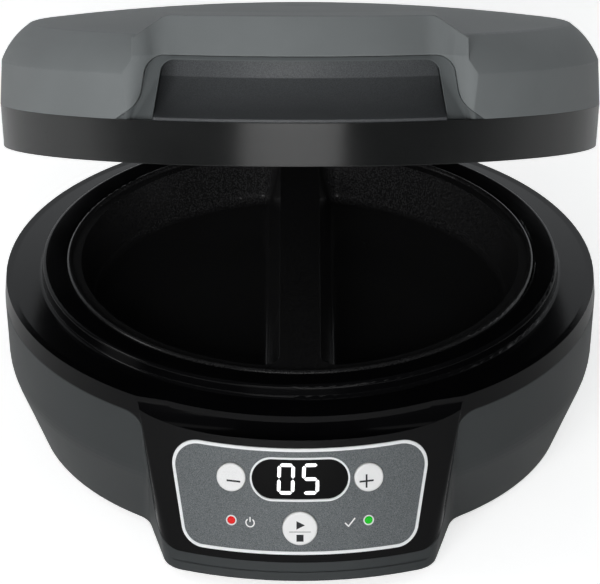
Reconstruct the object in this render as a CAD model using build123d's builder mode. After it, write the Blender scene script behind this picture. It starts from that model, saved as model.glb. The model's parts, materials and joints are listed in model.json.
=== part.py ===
"""Electric omelette maker: a round base with a two-well pan, a control nose and a hinged lid.

Millimetres, +Z up. The origin is on the table, under the middle of the machine.
The front, with the control panel, faces -Y. The lid is modelled shut and is turned
open about its rear hinge by lid_open when its pieces are written.
"""

import os
from math import asin, atan, cos, degrees, hypot, radians, sin, sqrt

from build123d import *

os.makedirs("parts", exist_ok=True)

# ---------------------------------------------------------------- driving dimensions
# base housing
deck_z = 74.0  # outer edge of the deck above the table
deck_shelf = 16.0  # width of the deck outside its collar
band_h = 7.9  # height of the deck housing's outer wall
band_draft = 0.6  # radius that the deck housing's outer wall loses
skirt_wall = 2.6
skirt_draft = 0.05  # radius lost for each mm of height on the straight wall
skirt_bend_z = 37.0  # below this height the wall leans in
skirt_bend_h = 4.0  # half height of the soft bend between the two
skirt_cone = 0.344  # radius lost for each mm of height below the bend
skirt_foot_z = 4.0
bend_steps = 3  # straight spans that shape the bend
deck_wall = 3.0

# nose that carries the controls
nose_proud = 0.8  # how far the nose stands out from the skirt at its top
nose_lean = 14.6  # how much further it stands out at its foot
nose_half_w = 65.4  # half width where the nose leaves the round body at the foot
nose_flare = 0.1017  # half width gained for each mm of height
nose_taper = 0.2246  # half width lost for each mm further out
nose_blend = 0.42  # blend radius as a share of how far the nose stands out
nose_corner = 0.42
nose_top_roll = 9.0  # rounding between the deck and the apron
nose_roll_half_w = 70.0

# apron: the black face of the nose, set into the skirt
apron_top_half_w = 68.0
apron_foot_half_w = 60.4
apron_foot_z = 12.0
apron_corner = 11.0
apron_shoulder = 8.0
apron_gap = 0.25
frame_step_side = 1.8  # stepped edge of the skirt round the apron
frame_step_foot = 4.4
frame_step_depth = 0.8

# collar and pan seat
collar_w = 10.4
collar_foot_rise = 1.3
collar_top_rise = 7.4
seat_w = 3.2  # ledge that the pan's flange rests on
seat_gap = 3.6  # from the wells' edge to that ledge
collar_round = 1.6

# pans
pan_edge_r = 96.2
pan_flange_gap = 0.3
pan_flange_t = 3.0
pan_top_rise = 6.9
pan_wall = 3.0
pan_depth = 20.9
pan_draft = 13.0
pan_divider = 17.6
pan_corner = 8.0
pan_floor_round = 4.0
pan_bead = 1.3
pan_boss_r = 5.0
pan_boss_at = 30.0

# heating elements
heater_ring_r = 62.0
heater_tube_r = 3.25
heater_fit = 0.05
heater_gap_deg = 40.0
heater_rib = 13.0
heater_rib_h = 7.0
terminal_r = 1.8
terminal_len = 12.0

# heat shields
shield_t = 0.8
shield_drop = 13.8
shield_in = 3.2
shield_lap = 5.7
shield_lip = 0.7

# lid
lid_open = 23.8  # opening angle in the pose that is written
lid_gap = 0.5  # band above the deck's edge when the lid is shut
lid_overhang = 1.0
lid_band_draft = 1.4
lid_seam_rise = 18.8
lid_wall_draft = 0.6
lid_ridge_rise = 37.8
lid_chamfer = 12.7
lid_chamfer_bulge = 1.6
lid_crown_rise = 54.0
lid_apex_rise = 61.6
cover_wall = 2.6
lid_band_wall = 3.0
ridge_round = 2.0
crown_round = 4.0

# brow and finger opening at the front of the lid
brow_half_w = 57.0
brow_foot_half_w = 71.0
brow_foot_rise = 50.0
brow_rise = 59.3
brow_tilt = 1.5
brow_top_round = 6.0
brow_overhang = 12.0  # how far the brow's lip stands over the scoop's back
brow_lip_rise = 45.4
brow_face_slope = 0.427
brow_side_x = 58.0
brow_foot_side_x = 70.0
notch_step = 2.7
brow_side_lean = 0.7
edge_past = 0.3  # how far a cutting edge stands off the face it leaves whole
brow_inner_round = 0.3  # roundings of the notch's sides, as shares of its depth
brow_flare_round = 0.55
mouth_sweep = 0.3  # angle, in radians, that the cut runs on along the wall
grip_foot_half_w = 79.0
grip_knee_half_w = 67.4
grip_knee_rise = 8.5
grip_top_half_w = 64.6
grip_corner = 8.5
grip_flare = 12.0
trim_foot_half_w = 62.2
trim_top_half_w = 58.0
trim_inner_rise = 43.4
trim_corner = 6.0
recess_sink = 1.0  # how far below the seam the finger space starts
trim_sink = 0.8
trim_gap = 0.2
scoop_clear = 3.8  # from the wells' edge to the scoop's back
scoop_back_rise = 35.6
scoop_sag = 2.6
scoop_t = 1.4

# upper plate
upper_land_rise = 8.8
upper_depth = 12.0
upper_flange_w = 13.8
lid_ledge_w = 4.0
ledge_root = 0.6
lid_ledge_t = 2.5
upper_shield_rise = 33.0
upper_shield_top_in = 8.2
upper_shield_gap = 0.4  # to the ribbon and to the upper plate
upper_shield_lap = 1.0
upper_shoulder_rise = 27.0

# hinge
hinge_out = 8.9  # behind the skirt's widest line
hinge_drop = 3.0  # below the deck's edge
hinge_boss_r = 6.4
arm_heel_y = 5.1  # corners of the arm and the ears, counted from the pin
arm_heel_z = 3.8
ear_heel_y = 5.7
ear_heel_z = 2.6
ear_brow_y = 5.1
hinge_pin_r = 3.0
hinge_run = 0.06
hinge_arm_half_w = 19.6
hinge_side_gap = 0.6
hinge_ear_w = 11.0
hinge_web_drop = 11.0
hinge_web_h = 15.0
hinge_web_t = 4.0
arm_top_drop = 0.8
rear_screw_x = 11.0
rear_screw_len = 10.0
arm_screw_drop = 5.0
arm_t = 2.5

# control panel
panel_top_drop = 12.4
panel_foot_rise = 3.7
panel_top_half_w = 56.3
panel_foot_half_w = 49.2
panel_top_corner = 12.0
panel_foot_corner = 9.0
panel_recess = 0.9
panel_proud = 0.3
trim_w = 1.3
trim_proud = 0.5
window_w = 42.6
window_h = 19.0
window_drop = 13.3
bezel_w = 0.8
bezel_proud = 0.55
step_button_r = 6.35
step_button_x = 29.1
step_button_drop = 0.5
start_button_r = 7.5
start_button_rise = 11.5
button_gap = 0.2
button_proud = 1.5
button_dome = 0.9
button_flange = 1.3
button_flange_t = 1.2
button_stem_r = 2.0
button_travel = 0.8
flange_gap = 0.6
stem_clear = 0.3
window_proud = -0.1
board_rise = 1.35
lamp_r = 1.8
lamp_ring_w = 0.5
lamp_x = 29.1
lamp_rise = 1.9
lamp_proud = 0.7
board_behind = 16.0
board_t = 1.6
board_w = 92.0
board_h = 44.0
switch_w = 6.0
switch_h = 4.2
module_w = 30.0
module_h = 19.0
module_behind = 4.6

# floor of the base
cover_t = 2.5
cover_z = 4.5
cover_gap = 0.4
foot_r = 10.0
foot_top_r = 8.6
foot_in = 14.0
foot_angle = 33.0
foot_stud_r = 2.6
post_r = 4.5
post_in = 8.4
screw_r = 1.5
screw_head_r = 3.1
screw_head_h = 2.0
screw_len = 14.0
screw_fit = 0.02
screw_gap = 0.3
vent_len = 26.0
vent_w = 3.0
vent_pitch = 7.0
vent_x = 44.0
vent_count = 7
gland_z = 24.0
gland_bore_r = 3.6
gland_body_w = 12.0  # square, so that it can't turn in the wall
gland_flange_r = 9.5
gland_flange_t = 2.5
gland_tail_len = 16.0
gland_nose_r = 6.0
gland_nose_len = 8.5
gland_grip_len = 8.0  # the bore is at its narrowest over this length of the nose
gland_room_r = 4.4  # the wider bore behind it
standoff_r = 3.0
standoff_h = 5.0
standoff_in = 8.0  # board size less the spacing of its standoffs
power_board_w = 80.0
power_board_l = 56.0
relay_l = 20.0
relay_w = 15.0
relay_h = 15.0
capacitor_r = 6.0
thermostat_r = 7.0
thermostat_h = 5.0
fuse_r = 2.2
fuse_len = 14.0

# ---------------------------------------------------------------- worked-out sizes
seat_ledge_r = pan_edge_r + seat_gap
seat_hole_r = seat_ledge_r + seat_w
collar_r = seat_hole_r + collar_w
deck_r = collar_r + deck_shelf
skirt_r = deck_r + band_draft
skirt_foot_r = skirt_r - skirt_draft * (deck_z - band_h - skirt_foot_z)
skirt_foot_r = skirt_foot_r - skirt_cone * (skirt_bend_z - skirt_foot_z)
nose_top_r = skirt_r + nose_proud
nose_foot_r = nose_top_r + nose_lean
band_z = deck_z - band_h
pan_top_z = deck_z + pan_top_rise
pan_seat_z = pan_top_z - pan_flange_t
pan_flange_r = seat_hole_r - pan_flange_gap
pan_floor_z = pan_top_z - pan_depth
pan_under_z = pan_floor_z - pan_wall
shield_z = pan_under_z - shield_drop
shield_floor_r = pan_edge_r - shield_in
shield_flange_r = seat_ledge_r + shield_lap
heater_z = pan_under_z - heater_rib_h + heater_tube_r
nose_slope = (nose_foot_r - nose_top_r) / (band_z - skirt_foot_z)
nose_tilt = degrees(atan(nose_slope))
panel_top_z = deck_z - panel_top_drop
panel_foot_z = apron_foot_z + panel_foot_rise
window_z = panel_top_z - window_drop
step_button_z = window_z - step_button_drop
start_button_z = panel_foot_z + start_button_rise
lamp_z = start_button_z + lamp_rise
board_z = (panel_top_z + panel_foot_z) / 2 + board_rise
stem_gap = button_travel + stem_clear
foot_ring_r = skirt_foot_r - foot_in
post_ring_r = skirt_foot_r - post_in
lid_z = deck_z + lid_gap
lid_seam_r = skirt_r + lid_overhang
band_foot_r = lid_seam_r - lid_band_draft
lid_ridge_r = lid_seam_r - lid_wall_draft
lid_crown_r = lid_ridge_r - lid_chamfer
scoop_back = pan_edge_r + scoop_clear
brow_lip_r = scoop_back + brow_overhang
notch_foot_r = lid_seam_r - notch_step
upper_flange_r = pan_edge_r + upper_flange_w
lid_ledge_r = upper_flange_r - lid_ledge_w
seam_z = deck_z + lid_seam_rise
upper_land_z = deck_z + upper_land_rise
upper_flange_z = upper_land_z + pan_flange_t
upper_roof_z = upper_land_z + upper_depth
upper_back_z = upper_roof_z + pan_wall
arm_top_z = seam_z - arm_top_drop
arm_screw_z = arm_top_z - arm_screw_drop
hinge_y = skirt_r + hinge_out
hinge_z = deck_z - hinge_drop
hinge_web_top = hinge_z - hinge_web_drop
hinge_web_foot = hinge_web_top - hinge_web_h
web_screw_z = (hinge_web_top + hinge_web_foot) / 2
cover_top_z = cover_z + cover_t
big = 4 * skirt_r
run_past = 1.2  # cutters run this much further out than what they cut
pick = 0.01  # tolerance when a corner is picked by its height
web_root = 3 * hinge_web_t  # depth of the bracket before the housing trims it


def body_radius(z):
    """Radius of the round body at a height: a drafted wall that leans in below the bend."""
    if z >= band_z:
        return skirt_r + (deck_r - skirt_r) * (z - band_z) / band_h
    straight = skirt_r - skirt_draft * (band_z - z)
    below = skirt_bend_z + skirt_bend_h - z
    if below <= 0:
        return straight
    if below < 2 * skirt_bend_h:
        return straight - skirt_cone * below**2 / (4 * skirt_bend_h)
    return straight - skirt_cone * (skirt_bend_z - z)


def nose_radius(z):
    """Radius of the nose's bowed front face at a height."""
    if z >= band_z:
        return body_radius(z) + nose_top_r - skirt_r
    return nose_top_r + nose_slope * (band_z - z)


def base_outline(z, inset=0.0):
    """Plan outline of the base at a height: the round body with the nose blended into it."""
    stand = nose_radius(z) - body_radius(z)
    foot_y = sqrt(skirt_foot_r**2 - nose_half_w**2)
    half_w = nose_half_w + nose_flare * (z - skirt_foot_z) - inset
    root_y = foot_y / 2
    root_x = half_w + nose_taper * (foot_y - root_y)
    tip_x = half_w - nose_taper * foot_y
    with BuildSketch(Plane.XY.offset(z)) as outline:
        with BuildLine():
            Polyline(
                (-root_x, -root_y),
                (-tip_x, -2 * foot_y),
                (tip_x, -2 * foot_y),
                (root_x, -root_y),
                close=True,
            )
        make_face()
        Circle(nose_radius(z) - inset, mode=Mode.INTERSECT)
        Circle(body_radius(z) - inset)
        ends = outline.vertices().filter_by_position(Axis.Y, -big, -root_y)
        by_reach = ends.sort_by(lambda v: v.X**2 + v.Y**2)
        fillet(by_reach[-2:], radius=nose_corner * stand)
        roots = outline.vertices().filter_by_position(Axis.Y, -big, -root_y)
        by_reach = roots.sort_by(lambda v: v.X**2 + v.Y**2)
        fillet(by_reach[:2], radius=nose_blend * stand)
    return outline.sketch


def front_roll(inset):
    """What is cut away to round the deck's front edge, fading out at the nose's sides."""
    front_y = deck_r - nose_top_roll
    side_y = sqrt(deck_r**2 - nose_roll_half_w**2)
    sag = front_y - side_y
    roll_r = (nose_roll_half_w**2 + sag**2) / (2 * sag)
    radius = nose_top_roll
    top = deck_z - inset
    high = top + radius
    edge = roll_r - inset
    far = edge + 3 * radius
    axis_y = roll_r - front_y
    with BuildPart() as roll:
        with BuildSketch(Plane.XZ.offset(-axis_y)):
            with BuildLine():
                Line((edge, top), (edge, high))
                Line((edge, high), (far, high))
                Line((far, high), (far, top - radius))
                Line((far, top - radius), (edge + radius, top - radius))
                RadiusArc((edge + radius, top - radius), (edge, top), radius)
            make_face()
        revolve(axis=Axis((0, axis_y, 0), (0, 0, 1)))
    return roll.part


def stretch(levels, inset):
    """One height band of the base, lofted straight through its plan outlines."""
    with BuildPart() as band:
        for level in levels:
            add(base_outline(level, inset))
        loft(ruled=True)
    return band.part


def base_form(inset, top, foot):
    """The base's outer shape, drawn in by inset, from height foot to height top."""
    span = 2 * skirt_bend_h / bend_steps
    low = skirt_bend_z - skirt_bend_h
    bend = [low + span * step for step in range(bend_steps + 1)]
    with BuildPart() as form:
        add(stretch([foot, *bend, band_z], inset))
        add(stretch([band_z, top], inset))
        add(front_roll(inset), mode=Mode.SUBTRACT)
    return form.part


def apron_outline(grow=0.0, foot_drop=0.0):
    """Front view of the black moulding below the deck: apron, shoulders and band."""
    side = (apron_top_half_w - apron_foot_half_w) / (band_z - apron_foot_z)
    foot = apron_foot_z - grow - foot_drop
    with BuildSketch(Plane.XZ) as outline:
        with BuildLine():
            Polyline(
                (-apron_foot_half_w - grow, foot),
                (apron_foot_half_w + grow, foot),
                (apron_top_half_w + grow + side * band_h, deck_z + 1),
                (-apron_top_half_w - grow - side * band_h, deck_z + 1),
                close=True,
            )
        make_face()
        corners = outline.vertices().group_by(Axis.Y)[0]
        fillet(corners, radius=apron_corner)
        with Locations((0, band_z - grow)):
            Rectangle(big, deck_z, align=(Align.CENTER, Align.MIN))
        shoulders = outline.vertices().filter_by_position(Axis.X, -deck_r / 1.5, deck_r / 1.5)
        shoulders = shoulders.filter_by_position(Axis.Y, band_z - grow - 0.1, band_z - grow + 0.1)
        fillet(shoulders, radius=apron_shoulder)
    return outline.sketch


def nose_slab(outer, inner):
    """Bowed sheet that follows the nose's face, from outer to inner across its thickness."""
    lean = cos(radians(nose_tilt))
    top = nose_radius(band_z)
    foot = nose_radius(skirt_foot_z)
    with BuildPart() as slab:
        with BuildSketch(Plane.XZ):
            with BuildLine():
                Polyline(
                    (foot + inner / lean, skirt_foot_z),
                    (foot + outer / lean, skirt_foot_z),
                    (top + outer / lean, band_z),
                    (top + inner / lean, band_z),
                    close=True,
                )
            make_face()
        revolve(axis=Axis.Z, revolution_arc=360)
    return slab.part


def panel_outline(inset=0.0):
    """Front view of the control plate."""
    with BuildSketch(Plane.XZ) as outline:
        with BuildLine():
            Polyline(
                (-panel_foot_half_w, panel_foot_z),
                (panel_foot_half_w, panel_foot_z),
                (panel_top_half_w, panel_top_z),
                (-panel_top_half_w, panel_top_z),
                close=True,
            )
        make_face()
        fillet(outline.vertices().group_by(Axis.Y)[0], radius=panel_foot_corner)
        fillet(outline.vertices().group_by(Axis.Y)[-1], radius=panel_top_corner)
        if inset:
            offset(amount=-inset)
    return outline.sketch


def window_outline(grow=0.0):
    """Front view of the display window."""
    with BuildSketch(Plane.XZ) as outline:
        with Locations((0, window_z)):
            SlotOverall(window_w + 2 * grow, window_h + 2 * grow)
    return outline.sketch


def nose_plane(x, z, behind=0.0):
    """Plane on the nose's face at (x, z), facing straight out of it."""
    turn = asin(x / nose_radius(z))
    tilt = radians(nose_tilt)
    out = Vector(sin(turn) * cos(tilt), -cos(turn) * cos(tilt), sin(tilt))
    at = Vector(x, -nose_radius(z) * cos(turn), z) - out * behind
    return Plane(origin=at, x_dir=(cos(turn), sin(turn), 0), z_dir=out)


def save(piece, name):
    """Label a finished piece and write it."""
    piece.label = name
    export_step(piece, f"parts/{name}.step")


def save_lid(piece, name):
    """Write a lid piece, turned open about the hinge."""
    hinge = Axis((0, hinge_y, hinge_z), (1, 0, 0))
    save(piece.rotate(hinge, -lid_open), name)


def rear_rods(outer_y, z, radius, length):
    """Pair of round rods or bores at the back, from outer_y inwards."""
    with BuildPart() as rods:
        with BuildSketch(Plane.XZ.offset(-outer_y)):
            with Locations((-rear_screw_x, z), (rear_screw_x, z)):
                Circle(radius)
        extrude(amount=length)
    return rods.part


def rear_screws(seat_y, z):
    """Pair of screws at the back whose heads rest at seat_y."""
    with BuildPart() as screws:
        add(rear_rods(seat_y + screw_head_h, z, screw_head_r, screw_head_h))
        add(rear_rods(seat_y, z, screw_r, rear_screw_len))
    return screws.part


buttons = {
    "minus_button": (-step_button_x, step_button_z, step_button_r),
    "plus_button": (step_button_x, step_button_z, step_button_r),
    "start_button": (0.0, start_button_z, start_button_r),
}
lamps = {"power_lamp": -lamp_x, "ready_lamp": lamp_x}
forward = (0, -1, 0)
reach = run_past * nose_foot_r

# ---------------------------------------------------------------- base housing
outer_form = base_form(0.0, deck_z, skirt_foot_z)
skirt_hollow = base_form(skirt_wall, deck_z + 1, skirt_foot_z - 1)
deck_hollow = base_form(deck_wall, deck_z - deck_wall, skirt_foot_z)

# the stepped edge that frames the apron
with BuildPart() as frame_step:
    add(nose_slab(reach, -frame_step_depth))
    edge = apron_outline(frame_step_side, frame_step_foot - frame_step_side)
    extrude(edge, amount=reach, dir=forward, mode=Mode.INTERSECT)

with BuildPart() as base_skirt:
    add(outer_form)
    add(skirt_hollow, mode=Mode.SUBTRACT)
    with BuildSketch(Plane.XY.offset(band_z)):
        Rectangle(big, big)
    extrude(amount=2 * band_h, mode=Mode.SUBTRACT)
    extrude(apron_outline(apron_gap), amount=reach, dir=forward, mode=Mode.SUBTRACT)
    add(frame_step.part, mode=Mode.SUBTRACT)
    with BuildSketch(Plane.XZ):
        with Locations((0, gland_z)):
            Rectangle(gland_body_w + 2 * screw_fit, gland_body_w + 2 * screw_fit)
    extrude(amount=-reach, mode=Mode.SUBTRACT)
    bores = rear_rods(skirt_r + hinge_web_t, web_screw_z, screw_r + screw_fit, rear_screw_len)
    add(bores, mode=Mode.SUBTRACT)
save(base_skirt.part, "base_skirt")

with BuildPart() as band_prism:
    with BuildSketch(Plane.XY.offset(band_z)):
        Rectangle(big, big)
    extrude(amount=2 * band_h)
    extrude(apron_outline(), amount=reach, dir=forward)

# room for the control plate
with BuildPart() as plate_recess:
    add(nose_slab(reach, -panel_recess))
    extrude(panel_outline(), amount=reach, dir=forward, mode=Mode.INTERSECT)

with BuildPart() as deck_housing:
    add(outer_form)
    add(deck_hollow, mode=Mode.SUBTRACT)
    add(band_prism.part, mode=Mode.INTERSECT)
    # collar and pan seat, turned about the pan's axis
    collar_top = deck_z + collar_top_rise
    inner_r = collar_r - deck_wall
    with BuildSketch(Plane.XY.offset(skirt_foot_z)):
        Circle(collar_r)
    extrude(amount=deck_z, mode=Mode.SUBTRACT)
    with BuildSketch(Plane.XZ) as collar:
        with BuildLine():
            Polyline(
                (deck_r - deck_wall, deck_z - deck_wall),
                (deck_r - deck_wall, deck_z),
                (collar_r, deck_z + collar_foot_rise),
                (collar_r, collar_top),
                (seat_hole_r, collar_top),
                (seat_hole_r, pan_seat_z),
                (seat_ledge_r, pan_seat_z),
                (seat_ledge_r, pan_seat_z - deck_wall),
                (seat_hole_r + deck_wall, pan_seat_z - deck_wall),
                (seat_hole_r + deck_wall, collar_top - deck_wall),
                (inner_r, collar_top - deck_wall),
                (inner_r, deck_z - deck_wall),
                close=True,
            )
        make_face()
        rims = collar.vertices().group_by(Axis.Y)[-1]
        fillet(rims.sort_by(Axis.X)[-1], radius=collar_round)
        rims = collar.vertices().group_by(Axis.Y)[-1]
        fillet(rims.sort_by(Axis.X)[0], radius=collar_round / 2)
        foot_z = deck_z + collar_foot_rise
        foot = collar.vertices().filter_by_position(Axis.Y, foot_z - pick, foot_z + pick)
        fillet(foot, radius=collar_round)
    revolve(axis=Axis.Z)
    add(plate_recess.part, mode=Mode.SUBTRACT)
    extrude(window_outline(-bezel_w), amount=reach, dir=forward, mode=Mode.SUBTRACT)
    for x, z, radius in buttons.values():
        with BuildSketch(nose_plane(x, z, behind=board_behind)):
            Circle(radius + button_gap)
        extrude(amount=2 * board_behind, mode=Mode.SUBTRACT)
    for x in lamps.values():
        with BuildSketch(nose_plane(x, lamp_z, behind=board_behind)):
            Circle(lamp_r)
        extrude(amount=2 * board_behind, mode=Mode.SUBTRACT)
    # posts that take the floor's screws
    with BuildSketch(Plane.XY.offset(cover_top_z)):
        with PolarLocations(post_ring_r, 4, start_angle=45):
            Circle(post_r)
    extrude(amount=deck_z - deck_wall - cover_top_z)
    with BuildSketch(Plane.XY.offset(cover_top_z)):
        with PolarLocations(post_ring_r, 4, start_angle=45):
            Circle(screw_r + screw_fit)
    extrude(amount=screw_len, mode=Mode.SUBTRACT)
save(deck_housing.part, "deck_housing")


# ---------------------------------------------------------------- pans
def half_moons(grow=0.0):
    """Plan of the two wells: a disc split by the divider, with rounded corners."""
    with BuildSketch() as moons:
        Circle(pan_edge_r + grow)
        Rectangle(pan_divider - 2 * grow, 2 * big, mode=Mode.SUBTRACT)
        fillet(moons.vertices(), radius=pan_corner + grow)
    return moons.sketch


def pan_body(land_z, depth, flange_r):
    """A cast pan: flange, two drafted wells below it and the rib that holds the element."""
    floor = land_z - depth
    with BuildPart() as pan:
        with BuildSketch(Plane.XY.offset(land_z - pan_flange_t)):
            Circle(flange_r)
        extrude(amount=pan_flange_t)
        with BuildSketch(Plane.XY.offset(land_z)):
            add(half_moons(pan_wall))
        extrude(amount=-(depth + pan_wall), taper=pan_draft)
        with BuildSketch(Plane.XY.offset(floor - pan_wall)):
            Circle(heater_ring_r + heater_rib / 2)
            Circle(heater_ring_r - heater_rib / 2, mode=Mode.SUBTRACT)
        extrude(amount=pan_wall + 1)
        with BuildSketch(Plane.XY.offset(floor - pan_wall)):
            Circle(heater_ring_r + heater_rib / 2)
            Circle(heater_ring_r - heater_rib / 2, mode=Mode.SUBTRACT)
        extrude(amount=-heater_rib_h)
        with BuildSketch(Plane.XY.offset(land_z)):
            add(half_moons())
        extrude(amount=-depth, taper=pan_draft, mode=Mode.SUBTRACT)
        well_floor = pan.faces().filter_by(Plane.XY).filter_by_position(Axis.Z, floor - 0.1, floor + 0.1)
        fillet(well_floor.edges(), radius=pan_floor_round)
        # groove that the element lies in
        groove_z = floor - pan_wall - heater_rib_h + heater_tube_r
        with BuildSketch(Plane.XZ):
            with Locations((heater_ring_r, groove_z)):
                Circle(heater_tube_r + heater_fit)
            with Locations((heater_ring_r, groove_z - heater_rib_h / 2)):
                Rectangle(2 * (heater_tube_r + heater_fit), heater_rib_h)
        revolve(axis=Axis.Z, mode=Mode.SUBTRACT)
    return pan.part


def heater(centre_z, away):
    """Tubular element: an open ring with two terminals that point away from the pan."""
    start = 90 + heater_gap_deg / 2
    sweep_deg = 360 - heater_gap_deg
    out = Vector(cos(radians(start)), sin(radians(start)), 0)
    side = Vector(sin(radians(start)), -cos(radians(start)), 0)
    with BuildPart() as element:
        with BuildSketch(Plane(origin=(0, 0, centre_z), x_dir=out, z_dir=side)):
            with Locations((heater_ring_r, 0)):
                Circle(heater_tube_r)
        revolve(axis=Axis.Z, revolution_arc=sweep_deg)
        with BuildSketch(Plane.XY.offset(centre_z)):
            for angle in (start + 2, start + sweep_deg - 2):
                with Locations(
                    (heater_ring_r * cos(radians(angle)), heater_ring_r * sin(radians(angle)))
                ):
                    Circle(terminal_r)
        extrude(amount=away * terminal_len)
    return element.part


with BuildPart() as lower_pan:
    add(pan_body(pan_top_z, pan_depth, pan_flange_r))
    with BuildSketch(Plane.XZ):
        with Locations((pan_flange_r - pan_bead, pan_top_z)):
            Circle(pan_bead)
    revolve(axis=Axis.Z)
    with BuildSketch(Plane.XY.offset(shield_z + shield_t)):
        with GridLocations(2 * pan_boss_at, 2 * pan_boss_at, 2, 2):
            Circle(pan_boss_r)
    extrude(amount=pan_under_z + 1 - shield_z - shield_t)
    with BuildSketch(Plane.XY.offset(shield_z + shield_t)):
        with GridLocations(2 * pan_boss_at, 2 * pan_boss_at, 2, 2):
            Circle(screw_r + screw_fit)
    extrude(amount=screw_len - cover_t, mode=Mode.SUBTRACT)
save(lower_pan.part, "lower_pan")
save(heater(heater_z, -1), "lower_heater")


def ring(points):
    """A part turned about the vertical axis from (radius, height) points of its section."""
    with BuildPart() as turned:
        with BuildSketch(Plane.XZ):
            with BuildLine():
                Polyline(*points, close=True)
            make_face()
        revolve(axis=Axis.Z)
    return turned.part


# heat shield under the element, hung from the pan seat
shield_top_z = pan_seat_z - deck_wall
with BuildPart() as lower_reflector:
    lip_r = seat_ledge_r + shield_lip
    add(
        ring(
            [
                (0, shield_z),
                (shield_floor_r, shield_z),
                (lip_r, shield_top_z - shield_t),
                (shield_flange_r, shield_top_z - shield_t),
                (shield_flange_r, shield_top_z),
                (lip_r - shield_t, shield_top_z),
                (shield_floor_r - shield_t, shield_z + shield_t),
                (0, shield_z + shield_t),
            ]
        )
    )
    with BuildSketch(Plane.XY.offset(shield_z - 1)):
        for side in (-1, 1):
            angle = radians(90 + side * (heater_gap_deg / 2 + 2))
            with Locations((heater_ring_r * cos(angle), heater_ring_r * sin(angle))):
                Circle(2 * terminal_r)
        with GridLocations(2 * pan_boss_at, 2 * pan_boss_at, 2, 2):
            Circle(screw_r + 2 * screw_fit)
    extrude(amount=4 * shield_t, mode=Mode.SUBTRACT)
save(lower_reflector.part, "lower_reflector")

with BuildPart() as pan_screws:
    with BuildSketch(Plane.XY.offset(shield_z)):
        with GridLocations(2 * pan_boss_at, 2 * pan_boss_at, 2, 2):
            Circle(screw_head_r)
    extrude(amount=-screw_head_h)
    with BuildSketch(Plane.XY.offset(shield_z)):
        with GridLocations(2 * pan_boss_at, 2 * pan_boss_at, 2, 2):
            Circle(screw_r)
    extrude(amount=screw_len - 2 * cover_t)
save(pan_screws.part, "pan_screws")

with BuildPart() as thermostat:
    thermostat_x = heater_ring_r - heater_rib / 2 - thermostat_r - fuse_r
    with BuildSketch(Plane.XY.offset(pan_under_z)):
        with Locations((-thermostat_x, 0)):
            Circle(thermostat_r)
    extrude(amount=-thermostat_h)
    with BuildSketch(Plane.XY.offset(pan_under_z - thermostat_h)):
        with Locations((-thermostat_x, 0)):
            Circle(thermostat_r / 2)
    extrude(amount=-shield_t)
save(thermostat.part, "thermostat")

with BuildPart() as thermal_fuse:
    with BuildSketch(Plane.XY.offset(pan_under_z)):
        with Locations((pan_edge_r / 2, 0)):
            Rectangle(fuse_r * 2, fuse_len)
    extrude(amount=-fuse_r)
    with BuildSketch(Plane.XZ.offset(-fuse_len / 2 - fuse_r)):
        with Locations((pan_edge_r / 2, pan_under_z - fuse_r)):
            Circle(fuse_r)
    extrude(amount=fuse_len + 2 * fuse_r)
save(thermal_fuse.part, "thermal_fuse")


# ---------------------------------------------------------------- control panel
def nose_piece(outline, outer, inner):
    """A bowed piece of the control panel, cut from a sheet that follows the nose."""
    with BuildPart() as piece:
        add(nose_slab(outer, inner))
        extrude(outline, amount=reach, dir=forward, mode=Mode.INTERSECT)
    return piece.part


with BuildPart() as control_plate:
    add(nose_piece(panel_outline(trim_w), panel_proud, -panel_recess))
    extrude(window_outline(), amount=reach, dir=forward, mode=Mode.SUBTRACT)
    for x, z, radius in buttons.values():
        with BuildSketch(nose_plane(x, z, behind=board_behind)):
            Circle(radius + button_gap)
        extrude(amount=2 * board_behind, mode=Mode.SUBTRACT)
    for x in lamps.values():
        with BuildSketch(nose_plane(x, lamp_z, behind=board_behind)):
            Circle(lamp_r + lamp_ring_w)
        extrude(amount=2 * board_behind, mode=Mode.SUBTRACT)
save(control_plate.part, "control_plate")

with BuildPart() as panel_trim:
    add(nose_piece(panel_outline(), trim_proud, -panel_recess))
    extrude(panel_outline(trim_w), amount=reach, dir=forward, mode=Mode.SUBTRACT)
save(panel_trim.part, "panel_trim")

with BuildPart() as display_bezel:
    add(nose_piece(window_outline(), bezel_proud, -panel_recess))
    extrude(window_outline(-bezel_w), amount=reach, dir=forward, mode=Mode.SUBTRACT)
save(display_bezel.part, "display_bezel")
save(nose_piece(window_outline(-bezel_w), window_proud, -deck_wall), "display_window")

with BuildPart() as lamp_rings:
    for x in lamps.values():
        with BuildSketch(nose_plane(x, lamp_z, behind=panel_recess)):
            Circle(lamp_r + lamp_ring_w)
            Circle(lamp_r, mode=Mode.SUBTRACT)
        extrude(amount=panel_recess + trim_proud)
save(lamp_rings.part, "lamp_rings")

for name, x in lamps.items():
    with BuildPart() as lamp:
        with BuildSketch(nose_plane(x, lamp_z, behind=deck_wall)):
            Circle(lamp_r)
        extrude(amount=deck_wall + lamp_proud)
        fillet(lamp.edges().group_by(Axis.Y)[0], radius=lamp_proud)
    save(lamp.part, name)

for name, (x, z, radius) in buttons.items():
    # the head is domed; a flange behind the apron keeps it from falling out
    flange_behind = deck_wall + button_flange_t + flange_gap
    stem_behind = (board_behind - (nose_radius(z) - sqrt(nose_radius(z) ** 2 - x**2))) - switch_h
    with BuildPart() as button:
        with BuildSketch(nose_plane(x, z, behind=flange_behind)):
            Circle(radius + button_flange)
        extrude(amount=button_flange_t)
        with BuildSketch(nose_plane(x, z, behind=flange_behind)):
            Circle(radius)
        extrude(amount=flange_behind + button_proud)
        head = button.faces().sort_by(Axis.Y)[0]
        fillet(head.edges(), radius=button_dome)
        with BuildSketch(nose_plane(x, z, behind=stem_behind - stem_gap)):
            Circle(button_stem_r)
        extrude(amount=stem_behind - stem_gap - flange_behind + button_flange_t)
    save(button.part, name)

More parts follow.
